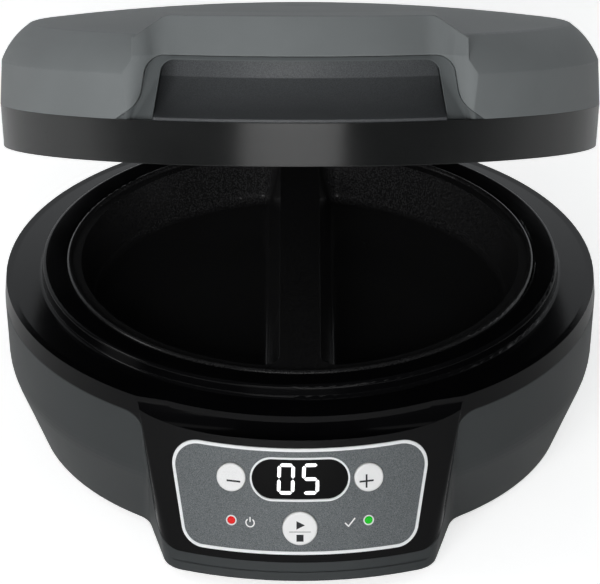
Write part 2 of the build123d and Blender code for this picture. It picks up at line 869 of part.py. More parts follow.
board_plane = nose_plane(0, board_z, behind=board_behind)
with BuildPart() as control_board:
    with BuildSketch(board_plane):
        Rectangle(board_w, board_h)
    extrude(amount=-board_t)
    with BuildSketch(board_plane):
        for x, z, _ in buttons.values():
            with Locations((x, (z - board_z) / cos(radians(nose_tilt)))):
                Rectangle(switch_w, switch_w)
    extrude(amount=switch_h)
save(control_board.part, "control_board")

with BuildPart() as display_module:
    with BuildSketch(board_plane):
        with Locations((0, (window_z - board_z) / cos(radians(nose_tilt)))):
            Rectangle(module_w, module_h)
    extrude(amount=board_behind - module_behind)
save(display_module.part, "display_module")

# ---------------------------------------------------------------- floor of the base
with BuildPart() as bottom_cover:
    rise = (0, 0, 1)
    extrude(base_outline(cover_z, skirt_wall + cover_gap), amount=cover_t, dir=rise)
    trimmed = base_outline(cover_top_z, skirt_wall + cover_gap)
    extrude(trimmed, amount=-2 * cover_t, dir=rise, mode=Mode.INTERSECT)
    with BuildSketch(Plane.XY.offset(cover_z)):
        for side in (-1, 1):
            with Locations((side * vent_x, 0)):
                with GridLocations(0, vent_pitch, 1, vent_count):
                    SlotOverall(vent_len, vent_w)
        with PolarLocations(post_ring_r, 4, start_angle=45):
            Circle(screw_r + 2 * screw_fit)
        for angle in (foot_angle, 180 - foot_angle, 180 + foot_angle, -foot_angle):
            with PolarLocations(foot_ring_r, 1, start_angle=angle):
                Circle(foot_stud_r)
    extrude(amount=cover_t, mode=Mode.SUBTRACT)
    with BuildSketch(Plane.XY.offset(cover_top_z)):
        with GridLocations(power_board_w - standoff_in, power_board_l - standoff_in, 2, 2):
            Circle(standoff_r)
    extrude(amount=standoff_h)
save(bottom_cover.part, "bottom_cover")

with BuildPart() as feet:
    for angle in (foot_angle, 180 - foot_angle, 180 + foot_angle, -foot_angle):
        with BuildSketch():
            with PolarLocations(foot_ring_r, 1, start_angle=angle):
                Circle(foot_r)
        extrude(amount=cover_z, taper=degrees(atan((foot_r - foot_top_r) / cover_z)))
        with BuildSketch(Plane.XY.offset(cover_z)):
            with PolarLocations(foot_ring_r, 1, start_angle=angle):
                Circle(foot_stud_r)
        extrude(amount=cover_t)
save(feet.part, "feet")

with BuildPart() as cover_screws:
    with BuildSketch(Plane.XY.offset(cover_z)):
        with PolarLocations(post_ring_r, 4, start_angle=45):
            Circle(screw_head_r)
    extrude(amount=-screw_head_h)
    with BuildSketch(Plane.XY.offset(cover_z)):
        with PolarLocations(post_ring_r, 4, start_angle=45):
            Circle(screw_r)
    extrude(amount=screw_len)
save(cover_screws.part, "cover_screws")

with BuildPart() as power_board:
    board_foot = cover_top_z + standoff_h
    with BuildSketch(Plane.XY.offset(board_foot)):
        Rectangle(power_board_w, power_board_l)
    extrude(amount=board_t)
    with BuildSketch(Plane.XY.offset(board_foot + board_t)):
        with Locations((-power_board_w / 4, 0)):
            Rectangle(relay_l, relay_w)
    extrude(amount=relay_h)
    with BuildSketch(Plane.XY.offset(board_foot + board_t)):
        with Locations((power_board_w / 4, power_board_l / 5)):
            Circle(capacitor_r)
    extrude(amount=relay_h)
    with BuildSketch(Plane.XY.offset(board_foot + board_t)):
        with Locations((power_board_w / 4, -power_board_l / 5)):
            Rectangle(relay_w, relay_w)
    extrude(amount=relay_h / 2)
save(power_board.part, "power_board")

gland_mouth_y = body_radius(gland_z + gland_flange_r) + gland_flange_t
gland_grip_y = gland_mouth_y + gland_nose_len - gland_grip_len
with BuildPart() as cord_gland:
    with BuildSketch(Plane.XZ.offset(-gland_mouth_y)):
        with Locations((0, gland_z)):
            Circle(gland_flange_r)
    extrude(amount=gland_flange_t + gland_flange_r)
    add(outer_form, mode=Mode.SUBTRACT)
    with BuildSketch(Plane.XZ.offset(-gland_mouth_y)):
        with Locations((0, gland_z)):
            Rectangle(gland_body_w, gland_body_w)
    extrude(amount=gland_tail_len)
    with BuildSketch(Plane.XZ.offset(-gland_mouth_y)):
        with Locations((0, gland_z)):
            Circle(gland_nose_r)
    extrude(amount=-gland_nose_len)
    with BuildSketch(Plane.XZ.offset(-gland_grip_y)):
        with Locations((0, gland_z)):
            Circle(gland_bore_r)
    extrude(amount=-gland_grip_len, mode=Mode.SUBTRACT)
    with BuildSketch(Plane.XZ.offset(-gland_grip_y)):
        with Locations((0, gland_z)):
            Circle(gland_room_r)
    extrude(amount=gland_tail_len + gland_nose_len - gland_grip_len, mode=Mode.SUBTRACT)
save(cord_gland.part, "cord_gland")


# ---------------------------------------------------------------- lid
def lid_section(inset, foot_z):
    """Half section of the lid's round cover: drafted wall, chamfer and domed top."""
    apex = deck_z + lid_apex_rise
    crown = deck_z + lid_crown_rise
    ridge = deck_z + lid_ridge_rise
    crown_mid = lid_crown_r / 2
    dome_r = (lid_crown_r**2 + (apex - crown) ** 2) / (2 * (apex - crown))
    mid_z = apex - dome_r + sqrt(dome_r**2 - crown_mid**2)
    chord = hypot(lid_chamfer, crown - ridge)
    bulge_r = (lid_crown_r + lid_ridge_r) / 2 + lid_chamfer_bulge * (crown - ridge) / chord
    bulge_z = (crown + ridge) / 2 + lid_chamfer_bulge * lid_chamfer / chord
    with BuildSketch(Plane.XZ) as section:
        with BuildLine():
            ThreePointArc((0, apex), (crown_mid, mid_z), (lid_crown_r, crown))
            ThreePointArc((lid_crown_r, crown), (bulge_r, bulge_z), (lid_ridge_r, ridge))
            Line((lid_ridge_r, ridge), (lid_seam_r, seam_z))
            Line((lid_seam_r, seam_z), (0, seam_z))
            Line((0, seam_z), (0, apex))
        make_face()
        if not inset:
            edge = section.vertices().filter_by_position(Axis.Y, ridge - pick, ridge + pick)
            fillet(edge, radius=ridge_round)
            edge = section.vertices().filter_by_position(Axis.Y, crown - pick, crown + pick)
            fillet(edge, radius=crown_round)
        if inset:
            wall_r = lid_seam_r - inset
            offset(amount=-inset, kind=Kind.INTERSECTION)
            with Locations((0, foot_z)):
                Rectangle(inset, apex - inset - foot_z, align=(Align.MIN, Align.MIN))
                Rectangle(wall_r, seam_z + 2 * inset - foot_z, align=(Align.MIN, Align.MIN))
    return section.sketch


def lid_round(inset, foot_z):
    """The lid's round form without its brow."""
    with BuildPart() as form:
        revolve(lid_section(inset, foot_z), axis=Axis.Z)
    return form.part


def bend(corner, end_a, end_b):
    """Middle point of the arc that rounds a near-square corner between two points."""
    share = 1 - sqrt(0.5)
    return (
        corner[0] + share * (end_a[0] + end_b[0] - 2 * corner[0]),
        corner[1] + share * (end_a[1] + end_b[1] - 2 * corner[1]),
    )


def notch_plan(face_r, side_x, grow):
    """Plan of what the brow's face and its two sweeping sides leave open at a height."""
    wall_r = lid_seam_r + edge_past - grow
    face_r = face_r - grow
    root = (side_x + grow, -sqrt(face_r**2 - (side_x + grow) ** 2))
    mouth_x = root[0] + brow_side_lean * (wall_r - face_r)
    mouth = (mouth_x, -sqrt(wall_r**2 - mouth_x**2))
    length = hypot(mouth[0] - root[0], mouth[1] - root[1])
    along = ((mouth[0] - root[0]) / length, (mouth[1] - root[1]) / length)
    inner = brow_inner_round * length
    flare = brow_flare_round * length
    inner_turn = asin(root[0] / face_r) - inner / face_r
    flare_turn = asin(mouth[0] / wall_r) + flare / wall_r
    far_x = wall_r * sin(flare_turn + mouth_sweep)
    far_y = run_past * lid_seam_r
    face_end = (face_r * sin(inner_turn), -face_r * cos(inner_turn))
    root_end = (root[0] + inner * along[0], root[1] + inner * along[1])
    mouth_end = (mouth[0] - flare * along[0], mouth[1] - flare * along[1])
    wall_end = (wall_r * sin(flare_turn), -wall_r * cos(flare_turn))
    wall_far = (far_x, -sqrt(wall_r**2 - far_x**2))
    wall_turn = flare_turn + mouth_sweep / 2
    wall_mid = (wall_r * sin(wall_turn), -wall_r * cos(wall_turn))
    root_mid = bend(root, root_end, face_end)
    mouth_mid = bend(mouth, mouth_end, wall_end)
    with BuildSketch() as plan:
        with BuildLine():
            for side in (-1, 1):
                ThreePointArc(
                    (side * face_end[0], face_end[1]),
                    (side * root_mid[0], root_mid[1]),
                    (side * root_end[0], root_end[1]),
                )
                Line((side * root_end[0], root_end[1]), (side * mouth_end[0], mouth_end[1]))
                ThreePointArc(
                    (side * mouth_end[0], mouth_end[1]),
                    (side * mouth_mid[0], mouth_mid[1]),
                    (side * wall_end[0], wall_end[1]),
                )
                ThreePointArc(
                    (side * wall_end[0], wall_end[1]),
                    (side * wall_mid[0], wall_mid[1]),
                    (side * wall_far[0], wall_far[1]),
                )
                Line((side * wall_far[0], wall_far[1]), (side * wall_far[0], -far_y))
            ThreePointArc((-face_end[0], face_end[1]), (0, -face_r), (face_end[0], face_end[1]))
            Line((-wall_far[0], -far_y), (wall_far[0], -far_y))
        make_face()
    return plan.sketch


def notch(grow):
    """Space in front of the brow: shallow at the seam, deepest at the top of the face."""
    lip_z = deck_z + brow_lip_rise
    top_z = deck_z + lid_apex_rise + 2 * cover_wall
    levels = [
        (seam_z - 1, notch_foot_r, brow_foot_side_x),
        (lip_z, brow_lip_r, brow_side_x),
        (top_z, brow_lip_r - brow_face_slope * (top_z - lip_z), brow_side_x),
    ]
    spans = []
    for lower, upper in zip(levels, levels[1:]):
        with BuildPart() as span:
            for z, face_r, side_x in (lower, upper):
                with BuildSketch(Plane.XY.offset(z)):
                    add(notch_plan(face_r, side_x, grow))
            loft(ruled=True)
        spans.append(span.part)
    with BuildPart() as space:
        add(spans)
    return space.part


def brow(inset):
    """The raised middle of the lid that runs forward to the brow."""
    tilt = radians(brow_tilt)
    start = Plane(origin=(0, 0, deck_z), x_dir=(1, 0, 0), z_dir=(0, -cos(tilt), sin(tilt)))
    with BuildPart() as rise:
        with BuildSketch(start) as front_view:
            with BuildLine():
                Polyline(
                    (-brow_foot_half_w + inset, lid_ridge_rise),
                    (brow_foot_half_w - inset, lid_ridge_rise),
                    (brow_foot_half_w - inset, brow_foot_rise - inset),
                    (brow_half_w - inset / 2, brow_rise - inset),
                    (-brow_half_w + inset / 2, brow_rise - inset),
                    (-brow_foot_half_w + inset, brow_foot_rise - inset),
                    close=True,
                )
            make_face()
            fillet(front_view.vertices().group_by(Axis.Y)[-1], radius=brow_top_round)
        extrude(amount=lid_seam_r)
    return rise.part


def cover_form(inset, foot_z):
    """Outer form of the cover drawn in by inset: round form, brow and notch."""
    with BuildPart() as form:
        add(lid_round(inset, foot_z))
        add(brow(inset))
        add(notch(inset), mode=Mode.SUBTRACT)
    return form.part


def grip_outline(shrink=0.0):
    """Front view of the opening in the cover: a rounded arch with flared feet."""
    foot_z = seam_z - recess_sink
    top_z = deck_z + brow_lip_rise - shrink
    with BuildSketch(Plane.XZ) as outline:
        with BuildLine():
            Polyline(
                (-grip_foot_half_w + shrink, foot_z),
                (grip_foot_half_w - shrink, foot_z),
                (grip_knee_half_w - shrink, foot_z + grip_knee_rise),
                (grip_top_half_w - shrink, top_z),
                (-grip_top_half_w + shrink, top_z),
                (-grip_knee_half_w + shrink, foot_z + grip_knee_rise),
                close=True,
            )
        make_face()
        fillet(outline.vertices().group_by(Axis.Y)[-1], radius=grip_corner - shrink)
        fillet(outline.vertices().group_by(Axis.Y)[1], radius=grip_flare)
    return outline.sketch


def recess_outline(shrink=0.0):
    """Front view of the finger space inside the trim."""
    foot_z = seam_z - 1
    top_z = deck_z + trim_inner_rise - shrink
    with BuildSketch(Plane.XZ) as outline:
        with BuildLine():
            Polyline(
                (-trim_foot_half_w + shrink, foot_z),
                (trim_foot_half_w - shrink, foot_z),
                (trim_top_half_w - shrink, top_z),
                (-trim_top_half_w + shrink, top_z),
                close=True,
            )
        make_face()
        fillet(outline.vertices().group_by(Axis.Y)[-1], radius=trim_corner)
    return outline.sketch


def ahead_of(outline, start_r):
    """Prism of a front view, from the cylinder of start_r forward past the lid's edge."""
    with BuildPart() as prism:
        extrude(outline, amount=run_past * lid_seam_r, dir=forward)
        with BuildSketch(Plane.XY.offset(lid_z)):
            Circle(start_r)
        extrude(amount=lid_apex_rise, mode=Mode.SUBTRACT)
    return prism.part


with BuildPart() as lid_cover:
    add(cover_form(0.0, seam_z))
    add(cover_form(cover_wall, seam_z - 2 * cover_wall), mode=Mode.SUBTRACT)
    add(ahead_of(grip_outline(), scoop_back - scoop_t - trim_gap), mode=Mode.SUBTRACT)
save_lid(lid_cover.part, "lid_cover")

with BuildPart() as handle_trim:
    add(cover_form(trim_sink, seam_z - 2 * cover_wall))
    add(ahead_of(grip_outline(trim_gap), scoop_back - scoop_t), mode=Mode.INTERSECT)
    with BuildSketch(Plane.XY.offset(seam_z)):
        Rectangle(big, big)
    extrude(amount=-big, mode=Mode.SUBTRACT)
    extrude(recess_outline(), amount=reach, dir=forward, mode=Mode.SUBTRACT)
save_lid(handle_trim.part, "handle_trim")

with BuildPart() as grip_scoop:
    rim_r = lid_seam_r - trim_sink
    back_z = deck_z + scoop_back_rise
    top_z = deck_z + trim_inner_rise
    mid = ((rim_r + scoop_back) / 2, (seam_z + back_z) / 2 - scoop_sag)
    with BuildSketch(Plane.XZ):
        with BuildLine():
            ThreePointArc((rim_r, seam_z + scoop_t), mid, (scoop_back, back_z))
            Line((scoop_back, back_z), (scoop_back, top_z))
            Line((scoop_back, top_z), (scoop_back - scoop_t, top_z))
            Line((scoop_back - scoop_t, top_z), (scoop_back - scoop_t, back_z - scoop_t))
            ThreePointArc(
                (scoop_back - scoop_t, back_z - scoop_t),
                (mid[0] - scoop_t / 2, mid[1] - scoop_t),
                (rim_r - 2 * scoop_t, seam_z),
            )
            Line((rim_r - 2 * scoop_t, seam_z), (rim_r, seam_z))
            Line((rim_r, seam_z), (rim_r, seam_z + scoop_t))
        make_face()
    revolve(axis=Axis.Z)
    extrude(recess_outline(trim_gap), amount=reach, dir=forward, mode=Mode.INTERSECT)
save_lid(grip_scoop.part, "grip_scoop")

ledge_z = upper_flange_z + lid_ledge_t
with BuildPart() as lid_band:
    inner_r = lid_seam_r - lid_band_wall
    band_points = [
        (band_foot_r - lid_band_wall, lid_z),
        (band_foot_r, lid_z),
        (lid_seam_r, seam_z),
        (inner_r, seam_z),
        (inner_r - ledge_root, ledge_z),
        (lid_ledge_r, ledge_z),
        (lid_ledge_r, upper_flange_z),
        (inner_r - 2 * ledge_root, upper_flange_z),
    ]
    add(ring(band_points))
    bores = rear_rods(lid_seam_r + arm_t, arm_screw_z, screw_r + screw_fit, rear_screw_len)
    add(bores, mode=Mode.SUBTRACT)
save_lid(lid_band.part, "lid_band")

# the upper plate is the lower pan's body turned over, with shallower wells
with BuildPart() as upper_plate:
    add(pan_body(-upper_land_z, upper_depth, upper_flange_r).mirror(Plane.XY))
save_lid(upper_plate.part, "upper_plate")

with BuildPart() as upper_heater:
    add(heater(upper_back_z + heater_rib_h - heater_tube_r, 1))
save_lid(upper_heater.part, "upper_heater")

with BuildPart() as upper_reflector:
    top_z = deck_z + upper_shield_rise
    shoulder_z = deck_z + upper_shoulder_rise
    lap_r = upper_flange_r - upper_shield_lap
    wall_r = scoop_back - scoop_t - upper_shield_gap
    inner_r = wall_r - shield_t
    bend_r = lid_ledge_r - 2 * shield_t
    top_r = wall_r - upper_shield_top_in
    shield_points = [
        (0, top_z),
        (top_r, top_z),
        (wall_r, shoulder_z),
        (wall_r, seam_z - upper_shield_gap),
        (bend_r, ledge_z + shield_t),
        (lap_r, ledge_z + shield_t),
        (lap_r, ledge_z),
        (bend_r - shield_t, ledge_z),
        (inner_r, seam_z - upper_shield_gap - shield_t),
        (inner_r, shoulder_z - shield_t / 2),
        (top_r - shield_t / 2, top_z - shield_t),
        (0, top_z - shield_t),
    ]
    add(ring(shield_points))
    with BuildSketch(Plane.XY.offset(top_z + 1)):
        for side in (-1, 1):
            angle = radians(90 + side * (heater_gap_deg / 2 + 2))
            with Locations((heater_ring_r * cos(angle), heater_ring_r * sin(angle))):
                Circle(2 * terminal_r)
    extrude(amount=-4 * shield_t, mode=Mode.SUBTRACT)
save_lid(upper_reflector.part, "upper_reflector")

# ---------------------------------------------------------------- hinge
with BuildPart() as lid_form:
    add(lid_round(0.0, seam_z))
    add(ring([(0, lid_z), (band_foot_r, lid_z), (lid_seam_r, seam_z), (0, seam_z)]))

with BuildPart() as lid_hinge_arm:
    with BuildSketch(Plane.YZ) as arm_view:
        with BuildLine():
            Polyline(
                (hinge_y - hinge_boss_r, hinge_z),
                (skirt_r + lid_gap, lid_z),
                (band_foot_r - lid_band_wall, lid_z),
                (band_foot_r - lid_band_wall, arm_top_z),
                (lid_seam_r + arm_t, arm_top_z),
                (hinge_y + arm_heel_y, hinge_z + arm_heel_z),
                (hinge_y, hinge_z),
                close=True,
            )
        make_face()
        with Locations((hinge_y, hinge_z)):
            Circle(hinge_boss_r)
    extrude(amount=hinge_arm_half_w, both=True)
    add(lid_form.part, mode=Mode.SUBTRACT)
    with BuildSketch(Plane.YZ):
        with Locations((hinge_y, hinge_z)):
            Circle(hinge_pin_r + hinge_run)
    extrude(amount=hinge_arm_half_w, both=True, mode=Mode.SUBTRACT)
    seat_y = lid_seam_r + arm_t
    bores = rear_rods(seat_y, arm_screw_z, screw_r + screw_fit, rear_screw_len)
    add(bores, mode=Mode.SUBTRACT)
    pockets = rear_rods(seat_y + hinge_boss_r, arm_screw_z, screw_head_r + screw_gap, hinge_boss_r)
    add(pockets, mode=Mode.SUBTRACT)
save_lid(lid_hinge_arm.part, "lid_hinge_arm")
save_lid(rear_screws(lid_seam_r + arm_t, arm_screw_z), "lid_screws")

ear_in = hinge_arm_half_w + hinge_side_gap
ear_out = ear_in + hinge_ear_w
with BuildPart() as hinge_bracket:
    for side in (-1, 1):
        with BuildSketch(Plane.YZ.offset(side * ear_in)):
            with BuildLine():
                Polyline(
                    (skirt_r - web_root, hinge_web_foot),
                    (skirt_r + hinge_web_t, hinge_web_foot),
                    (hinge_y + ear_heel_y, hinge_z - ear_heel_z),
                    (hinge_y, hinge_z),
                    (hinge_y - ear_brow_y, hinge_z),
                    (skirt_r - web_root, band_z),
                    close=True,
                )
            make_face()
            with Locations((hinge_y, hinge_z)):
                Circle(hinge_boss_r)
        extrude(amount=side * hinge_ear_w)
    with BuildSketch(Plane.XZ.offset(-skirt_r - hinge_web_t)):
        with Locations((0, hinge_web_foot)):
            Rectangle(2 * ear_in, hinge_web_top - hinge_web_foot, align=(Align.CENTER, Align.MIN))
    extrude(amount=web_root)
    add(outer_form, mode=Mode.SUBTRACT)
    with BuildSketch(Plane.YZ.offset(-ear_out)):
        with Locations((hinge_y, hinge_z)):
            Circle(hinge_pin_r)
    extrude(amount=2 * ear_out, mode=Mode.SUBTRACT)
    bores = rear_rods(skirt_r + hinge_web_t, web_screw_z, screw_r + screw_fit, rear_screw_len)
    add(bores, mode=Mode.SUBTRACT)
save(hinge_bracket.part, "hinge_bracket")
save(rear_screws(skirt_r + hinge_web_t, web_screw_z), "hinge_screws")

with BuildPart() as hinge_pin:
    with BuildSketch(Plane.YZ.offset(-ear_out)):
        with Locations((hinge_y, hinge_z)):
            Circle(hinge_pin_r)
    extrude(amount=2 * ear_out)
save(hinge_pin.part, "hinge_pin")
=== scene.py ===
"""Looks of the electric omelette maker: materials, printed marks, light and camera."""

import json
from math import cos, radians, sin

import bmesh
import bpy
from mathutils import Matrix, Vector
from mathutils.bvhtree import BVHTree


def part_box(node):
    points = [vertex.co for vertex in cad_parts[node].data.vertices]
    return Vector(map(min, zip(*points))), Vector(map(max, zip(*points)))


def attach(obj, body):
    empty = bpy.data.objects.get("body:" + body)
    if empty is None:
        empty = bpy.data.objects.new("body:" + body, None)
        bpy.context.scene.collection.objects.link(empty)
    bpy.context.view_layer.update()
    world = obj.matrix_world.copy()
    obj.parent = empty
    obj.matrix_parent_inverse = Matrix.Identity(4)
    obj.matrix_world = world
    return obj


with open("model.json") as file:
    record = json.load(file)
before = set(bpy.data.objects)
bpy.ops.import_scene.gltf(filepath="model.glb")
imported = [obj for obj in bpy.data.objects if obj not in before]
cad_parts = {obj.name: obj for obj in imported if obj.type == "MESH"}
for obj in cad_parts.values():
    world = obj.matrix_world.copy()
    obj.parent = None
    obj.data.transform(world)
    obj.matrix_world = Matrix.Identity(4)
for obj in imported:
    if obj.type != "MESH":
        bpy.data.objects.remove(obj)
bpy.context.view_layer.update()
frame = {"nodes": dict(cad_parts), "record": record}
nodes = frame["nodes"]
mm = 0.001

# Values that all materials share.
CLOUD_MM = 38  # size of the slow colour clouds
NOISE_LOW, NOISE_HIGH = 0.3, 0.7  # part of the noise that is spread over the whole range
FLECK_GAIN, FLECK_LIFT, FLECK_LOSS, FLECK_SHARE = 2.2, 0.05, 0.75, 0.6
FLAT_TURN, EDGE_TURN = 0.985, 0.8  # cosine between the softened and the true normal
# Painted highlight on edges: the edge colour is the base colour times the gain plus the lift.
EDGE_HIGHLIGHT_GAIN, EDGE_HIGHLIGHT_LIFT = 1.9, 0.02
BUMP_STRENGTH = 0.6
# Sockets of a colour Mix node.
MIX_FACTOR, MIX_A, MIX_B, MIX_RESULT = 0, 6, 7, 2


def tone(code):
    """Linear colour of an sRGB hex code."""
    parts = [int(code[i : i + 2], 16) / 255 for i in (0, 2, 4)]
    return [c / 12.92 if c <= 0.04045 else ((c + 0.055) / 1.055) ** 2.4 for c in parts]


# ------------------------------------------------------------------ materials
def finish(
    name,
    colour,
    rough=0.4,
    metallic=0.0,
    coat=0.0,
    coat_rough=0.1,
    fleck=0.0,
    fleck_size=0.35,
    cloud=0.06,
    grain=0.35,
    grain_depth=0.02,
    stretch=None,
    edge=0.35,
    painted_edge_highlight=0.12,
    specular=0.5,
    glow=0.0,
    spread=0.06,
):
    """Node material: cloudy colour, grain in roughness and bump, softened edges with a painted
    highlight (paler colour) on them.
    """
    material = bpy.data.materials.new(name)
    material.use_nodes = True
    tree = material.node_tree
    links = tree.links
    shader = tree.nodes["Principled BSDF"]
    shader.inputs["Metallic"].default_value = metallic
    shader.inputs["Coat Weight"].default_value = coat
    shader.inputs["Coat Roughness"].default_value = coat_rough
    shader.inputs["Specular IOR Level"].default_value = specular

    def new(kind, **values):
        node = tree.nodes.new(kind)
        for key, value in values.items():
            setattr(node, key, value)
        return node

    place = new("ShaderNodeTexCoord")
    source = place.outputs["Object"]
    if stretch:
        mapping = new("ShaderNodeMapping")
        mapping.inputs["Scale"].default_value = stretch
        links.new(source, mapping.inputs["Vector"])
        source = mapping.outputs["Vector"]

    def noise(size_mm, detail, vector):
        node = new("ShaderNodeTexNoise")
        node.inputs["Scale"].default_value = 1 / (size_mm * mm)
        node.inputs["Detail"].default_value = detail
        links.new(vector, node.inputs["Vector"])
        return node.outputs["Fac"]

    def shade(factor, low, high):
        node = new("ShaderNodeMapRange")
        node.inputs["From Min"].default_value = NOISE_LOW
        node.inputs["From Max"].default_value = NOISE_HIGH
        node.inputs["To Min"].default_value = low
        node.inputs["To Max"].default_value = high
        links.new(factor, node.inputs["Value"])
        return node.outputs["Result"]

    def mix(factor, a, b):
        node = new("ShaderNodeMix", data_type="RGBA", blend_type="MIX")
        for key, value in ((MIX_FACTOR, factor), (MIX_A, a), (MIX_B, b)):
            if isinstance(value, bpy.types.NodeSocket):
                links.new(value, node.inputs[key])
            else:
                node.inputs[key].default_value = value
        return node.outputs[MIX_RESULT]

    broad = noise(CLOUD_MM, 3, place.outputs["Object"])
    fine = noise(grain, 2, source)
    dark = [c * (1 - cloud) for c in colour] + [1]
    light = [min(1, c * (1 + cloud)) for c in colour] + [1]
    shown = mix(shade(broad, 0, 1), dark, light)
    if fleck:
        flecks = noise(fleck_size, 1, place.outputs["Object"])
        gain, lift = 1 + FLECK_GAIN * fleck, FLECK_LIFT * fleck
        bright = [min(1, c * gain + lift) for c in colour] + [1]
        dull = [c * (1 - FLECK_LOSS * fleck) for c in colour] + [1]
        spotted = mix(shade(flecks, 0, 1), dull, bright)
        shown = mix(FLECK_SHARE, shown, spotted)
    soft = new("ShaderNodeBevel", samples=4)
    soft.inputs["Radius"].default_value = edge * mm
    true = new("ShaderNodeNewGeometry")
    turn = new("ShaderNodeVectorMath", operation="DOT_PRODUCT")
    links.new(soft.outputs["Normal"], turn.inputs[0])
    links.new(true.outputs["Normal"], turn.inputs[1])
    # Painted highlight: where the softened normal turns away from the true one, the colour is
    # painted paler.
    painted_edge_mask = new("ShaderNodeMapRange")
    painted_edge_mask.inputs["From Min"].default_value = FLAT_TURN
    painted_edge_mask.inputs["From Max"].default_value = EDGE_TURN
    painted_edge_mask.inputs["To Min"].default_value = 0.0
    painted_edge_mask.inputs["To Max"].default_value = painted_edge_highlight
    links.new(turn.outputs["Value"], painted_edge_mask.inputs["Value"])
    pale = [min(1, c * EDGE_HIGHLIGHT_GAIN + EDGE_HIGHLIGHT_LIFT) for c in colour] + [1]
    shown = mix(painted_edge_mask.outputs["Result"], shown, pale)
    links.new(shown, shader.inputs["Base Color"])
    both = new("ShaderNodeMath", operation="ADD")
    links.new(shade(broad, rough - spread / 2, rough + spread / 2), both.inputs[0])
    links.new(shade(fine, -spread / 2, spread / 2), both.inputs[1])
    links.new(both.outputs["Value"], shader.inputs["Roughness"])
    bump = new("ShaderNodeBump")
    bump.inputs["Strength"].default_value = BUMP_STRENGTH
    bump.inputs["Distance"].default_value = grain_depth * mm
    links.new(fine, bump.inputs["Height"])
    links.new(soft.outputs["Normal"], bump.inputs["Normal"])
    links.new(bump.outputs["Normal"], shader.inputs["Normal"])
    if glow:
        links.new(shown, shader.inputs["Emission Color"])
        shader.inputs["Emission Strength"].default_value = glow
    return material


materials = {
    "slate_plastic": finish("slate", tone("797d7e"), 0.46, grain=0.3, grain_depth=0.03, edge=0.8),
    "black_plastic": finish("black_deck", tone("060607"), 0.18, grain=0.5, edge=0.3,
                            grain_depth=0.004, cloud=0.15, specular=0.22),
    "black_gloss": finish("black_band", tone("151616"), 0.22, grain=0.6, edge=0.4,
                          grain_depth=0.004, cloud=0.12, specular=0.9),
    "trim_grey": finish("ribbon", tone("5c6061"), 0.36, grain=0.3, grain_depth=0.02, edge=0.8),
    "nonstick": finish("nonstick", tone("0a0a0b"), 0.22, fleck=0.5,
                       fleck_size=0.6, grain=0.7, grain_depth=0.008, edge=0.3, cloud=0.2),
    "element_steel": finish("element", tone("8c8a86"), 0.42, 0.9, grain=0.4, edge=0.3),
    "shield_steel": finish("shield", tone("b6b8ba"), 0.36, 1.0, grain=0.4, edge=0.3,
                           stretch=(1, 12, 12)),
    "screw_steel": finish("screw", tone("a4a6a8"), 0.34, 1.0, grain=0.3, edge=0.2),
    "panel_grey": finish("panel", tone("5c6062"), 0.4, 0.25, fleck=0.7,
                         fleck_size=0.32, grain=0.32, grain_depth=0.02, edge=0.3),
    "pale_trim": finish("pale", tone("f2f4f5"), 0.3, grain=0.5, edge=0.2, cloud=0.02),
    "window_black": finish("window", tone("020202"), 0.1, grain=0.8, edge=0.4,
                           grain_depth=0.002, spread=0.02, specular=0.15),
    "red_lens": finish("red_lens", tone("c80303"), 0.15, coat=0.5, grain=0.5, edge=0.5, glow=0.35,
                       grain_depth=0.004),
    "green_lens": finish("green_lens", tone("04a812"), 0.15, coat=0.5, grain=0.5, edge=0.5,
                         glow=0.35, grain_depth=0.004),
    "button_white": finish("button", tone("f0f0f0"), 0.3, coat=0.3, grain=0.5, edge=0.5,
                           cloud=0.02, grain_depth=0.006),
    "board_green": finish("board", tone("1c5a34"), 0.4, grain=0.6, edge=0.2),
    "foot_rubber": finish("rubber", tone("1c1c1c"), 0.7, grain=0.5, grain_depth=0.05, edge=0.6),
}
# Painted shade: darker copies of a plastic for parts that lie in shade.
painted_shade_looks = {
    # The skirt is slate plastic painted darker: painted shade on its front face.
    "base_skirt": finish("slate_painted_shade", tone("393c3d"), 0.42, grain=0.3, grain_depth=0.03,
                         edge=0.8, specular=0.4),
    # The grip recess is painted darker: painted shade inside the recess.
    "grip_scoop": finish("scoop", tone("4a4c4e"), 0.42, fleck=0.35, fleck_size=0.4, grain=0.3,
                         grain_depth=0.03, edge=0.8),
}

for part in frame["record"]["subparts"]:
    target = nodes[part["node"]]
    look = painted_shade_looks.get(part["node"], materials[part["material_slot"]])
    target.data.materials.clear()
    target.data.materials.append(look)

print_white = finish("print_white", tone("f4f4f4"), 0.5, grain=0.3, edge=0.05, cloud=0.03)
print_dark = finish("print_dark", tone("26282a"), 0.5, grain=0.3, edge=0.05, cloud=0.05)
digit_glow = finish("digit_glow", tone("f6f6f6"), 0.4, grain=0.4, edge=0.1, cloud=0.03, glow=0.6)


